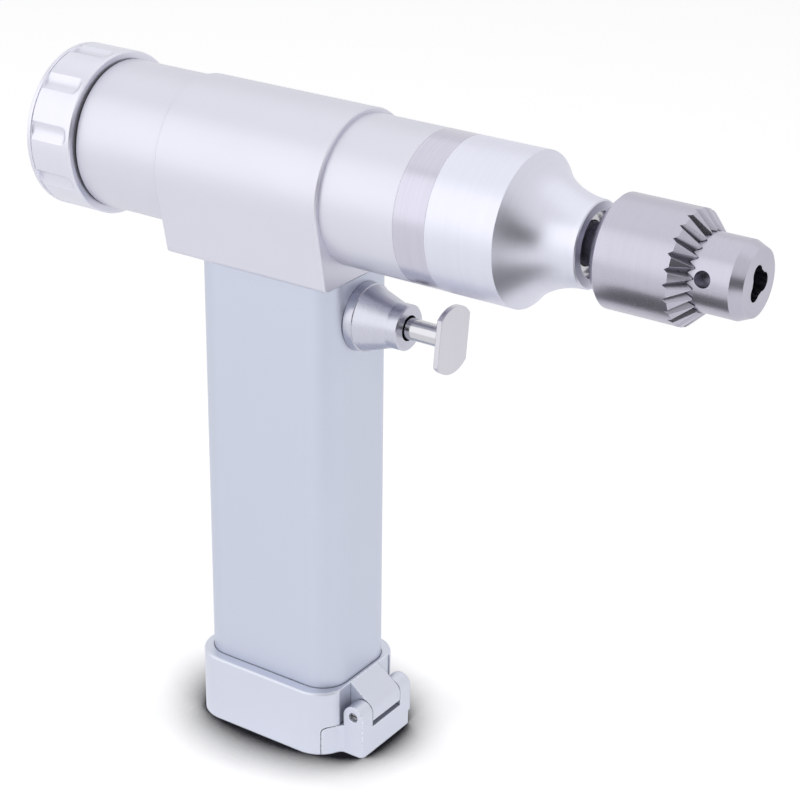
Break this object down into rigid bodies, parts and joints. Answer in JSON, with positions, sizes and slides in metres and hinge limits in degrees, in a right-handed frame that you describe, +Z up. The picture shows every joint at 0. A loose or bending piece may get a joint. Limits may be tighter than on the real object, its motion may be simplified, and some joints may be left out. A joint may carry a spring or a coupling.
{
  "type": "surgical power drill",
  "caption": "Pistol-shaped battery surgical drill with a round barrel, keyed drill chuck, pull trigger on the grip, screw-on rear cap and a hinged battery lid at the foot.",
  "frame": {"origin": "middle of the base's underside, under the middle of the grip", "axes": "+Z up, +X along the barrel towards the chuck, +Y to the left of someone holding it"},
  "size_m": [0.2335, 0.051, 0.21],
  "materials": {
    "housing_satin": "bead-blasted satin silver anodising",
    "tube_satin": "bead-blasted satin anodising, slightly blue",
    "base_satin": "satin anodising with bright rounded edges",
    "cap_metal": "satin anodising with bright cut flutes",
    "nose_metal": "finely turned satin aluminium",
    "trigger_metal": "finely turned satin aluminium",
    "ring_steel": "polished band with fine brushing",
    "chuck_steel": "ground stainless steel",
    "jaw_steel": "hardened ground steel",
    "shaft_steel": "polished stainless steel",
    "plate_steel": "satin stainless steel",
    "gear_steel": "machined alloy steel",
    "bearing_steel": "ground bearing steel",
    "spring_steel": "bright spring wire",
    "zinc_steel": "zinc plated sheet",
    "iron": "stacked laminations",
    "ferrite": "dull magnet ceramic",
    "copper": "enamelled copper wire",
    "commutator_copper": "turned copper segments",
    "bronze": "sintered bronze",
    "gold": "gold plated contact",
    "carbon": "pressed carbon",
    "dark_plastic": "moulded black plastic",
    "natural_plastic": "moulded high temperature plastic",
    "board_green": "lacquered circuit board",
    "cell_wrap": "shrink wrapped cell",
    "seal_rubber": "black silicone rubber",
    "foam": "closed cell silicone foam"
  },
  "bodies": {
    "frame": {"main_housing": "housing_satin", "rear_barrel": "housing_satin", "front_barrel": "housing_satin", "ring_gear": "ring_steel", "nose_housing": "nose_metal", "front_bearing_outer_race": "bearing_steel", "rear_bearing_outer_race": "bearing_steel", "front_circlip": "spring_steel", "handle_tube": "tube_satin", "handle_liner": "natural_plastic", "trigger_housing": "trigger_metal", "trigger_guide": "bronze", "trigger_seal": "seal_rubber", "speed_switch": "dark_plastic", "switch_bracket": "zinc_steel", "control_board": "board_green", "board_capacitors": "dark_plastic", "contact_block": "natural_plastic", "contact_pins": "gold", "battery_case": "dark_plastic", "battery_cells": "cell_wrap", "battery_terminals": "gold", "base_collar": "base_satin", "motor_can": "zinc_steel", "motor_magnets": "ferrite", "motor_end_bell": "dark_plastic", "brush_holder": "natural_plastic", "motor_brushes": "carbon", "motor_bushes": "bronze", "motor_mount_plate": "zinc_steel"},
    "spindle": {"spindle": "gear_steel", "planet_pins": "shaft_steel", "front_bearing_inner_race": "bearing_steel", "rear_bearing_inner_race": "bearing_steel", "chuck_body": "chuck_steel"},
    "rotor": {"rotor_shaft": "shaft_steel", "rotor_core": "iron", "rotor_windings": "copper", "commutator": "commutator_copper", "sun_gear": "gear_steel"},
    "planet_1": {"planet_gear_1": "gear_steel"},
    "planet_2": {"planet_gear_2": "gear_steel"},
    "planet_3": {"planet_gear_3": "gear_steel"},
    "sleeve": {"chuck_sleeve": "chuck_steel", "chuck_nut": "jaw_steel"},
    "jaw_1": {"jaw_1": "jaw_steel"},
    "jaw_2": {"jaw_2": "jaw_steel"},
    "jaw_3": {"jaw_3": "jaw_steel"},
    "trigger": {"trigger_plate": "plate_steel", "trigger_plunger": "shaft_steel", "plunger_clip": "spring_steel", "trigger_spring": "spring_steel"},
    "cap_seal": {"cap_gasket": "seal_rubber"},
    "cap": {"rear_cap": "cap_metal"},
    "lid": {"battery_lid": "base_satin", "hinge_pin": "shaft_steel", "lid_gasket": "seal_rubber", "lid_pad": "foam"},
    "catch": {"catch_plunger": "shaft_steel", "catch_spring": "spring_steel"}
  },
  "joints": [
    {"name": "chuck_spin", "type": "hinge", "parent": "frame", "child": "spindle", "pos_m": [0.088, 0, 0.1845], "axis": [1, 0, 0], "continuous": true},
    {"name": "rotor_spin", "type": "hinge", "parent": "frame", "child": "rotor", "pos_m": [0.02, 0, 0.1845], "axis": [1, 0, 0], "continuous": true},
    {"name": "planet_1_spin", "type": "hinge", "parent": "spindle", "child": "planet_1", "pos_m": [0.056, 0, 0.1965], "axis": [1, 0, 0], "continuous": true},
    {"name": "planet_2_spin", "type": "hinge", "parent": "spindle", "child": "planet_2", "pos_m": [0.056, -0.01039, 0.1785], "axis": [1, 0, 0], "continuous": true},
    {"name": "planet_3_spin", "type": "hinge", "parent": "spindle", "child": "planet_3", "pos_m": [0.056, 0.01039, 0.1785], "axis": [1, 0, 0], "continuous": true},
    {"name": "sleeve_turn", "type": "hinge", "parent": "spindle", "child": "sleeve", "pos_m": [0.12, 0, 0.1845], "axis": [1, 0, 0], "range_deg": [0, 3420]},
    {"name": "jaw_1_slide", "type": "slide", "parent": "spindle", "child": "jaw_1", "axis": [0.9781, 0.0732, -0.1946], "range_m": [0, 0.0152]},
    {"name": "jaw_2_slide", "type": "slide", "parent": "spindle", "child": "jaw_2", "axis": [0.9781, 0.132, 0.1607], "range_m": [0, 0.0152]},
    {"name": "jaw_3_slide", "type": "slide", "parent": "spindle", "child": "jaw_3", "axis": [0.9781, -0.2051, 0.034], "range_m": [0, 0.0152]},
    {"name": "trigger_pull", "type": "slide", "parent": "frame", "child": "trigger", "axis": [-1, 0, 0], "range_m": [0, 0.008], "stiffness_N_per_m": 600, "springref_m": -0.004, "deforming": ["trigger_spring"]},
    {"name": "cap_out", "type": "slide", "parent": "frame", "child": "cap_seal", "axis": [-1, 0, 0], "range_m": [0, 0.01125]},
    {"name": "cap_turn", "type": "hinge", "parent": "cap_seal", "child": "cap", "pos_m": [-0.074, 0, 0.1845], "axis": [-1, 0, 0], "range_deg": [0, 2700]},
    {"name": "lid_hinge", "type": "hinge", "parent": "frame", "child": "lid", "pos_m": [0.0317, 0, 0.0141], "axis": [0, -1, 0], "range_deg": [0, 105]},
    {"name": "catch_slide", "type": "slide", "parent": "lid", "child": "catch", "axis": [1, 0, 0], "range_m": [0, 0.0008], "stiffness_N_per_m": 500, "springref_m": -0.002, "deforming": ["catch_spring"]}
  ],
  "couplings": [
    {"joint": "rotor_spin", "follows": "chuck_spin", "ratio": 5},
    {"joint": "planet_1_spin", "follows": "chuck_spin", "ratio": -2.6667},
    {"joint": "planet_2_spin", "follows": "chuck_spin", "ratio": -2.6667},
    {"joint": "planet_3_spin", "follows": "chuck_spin", "ratio": -2.6667},
    {"joint": "jaw_1_slide", "follows": "sleeve_turn", "m_per_rad": 0.00025465},
    {"joint": "jaw_2_slide", "follows": "sleeve_turn", "m_per_rad": 0.00025465},
    {"joint": "jaw_3_slide", "follows": "sleeve_turn", "m_per_rad": 0.00025465},
    {"joint": "cap_out", "follows": "cap_turn", "m_per_rad": 0.00023873}
  ]
}
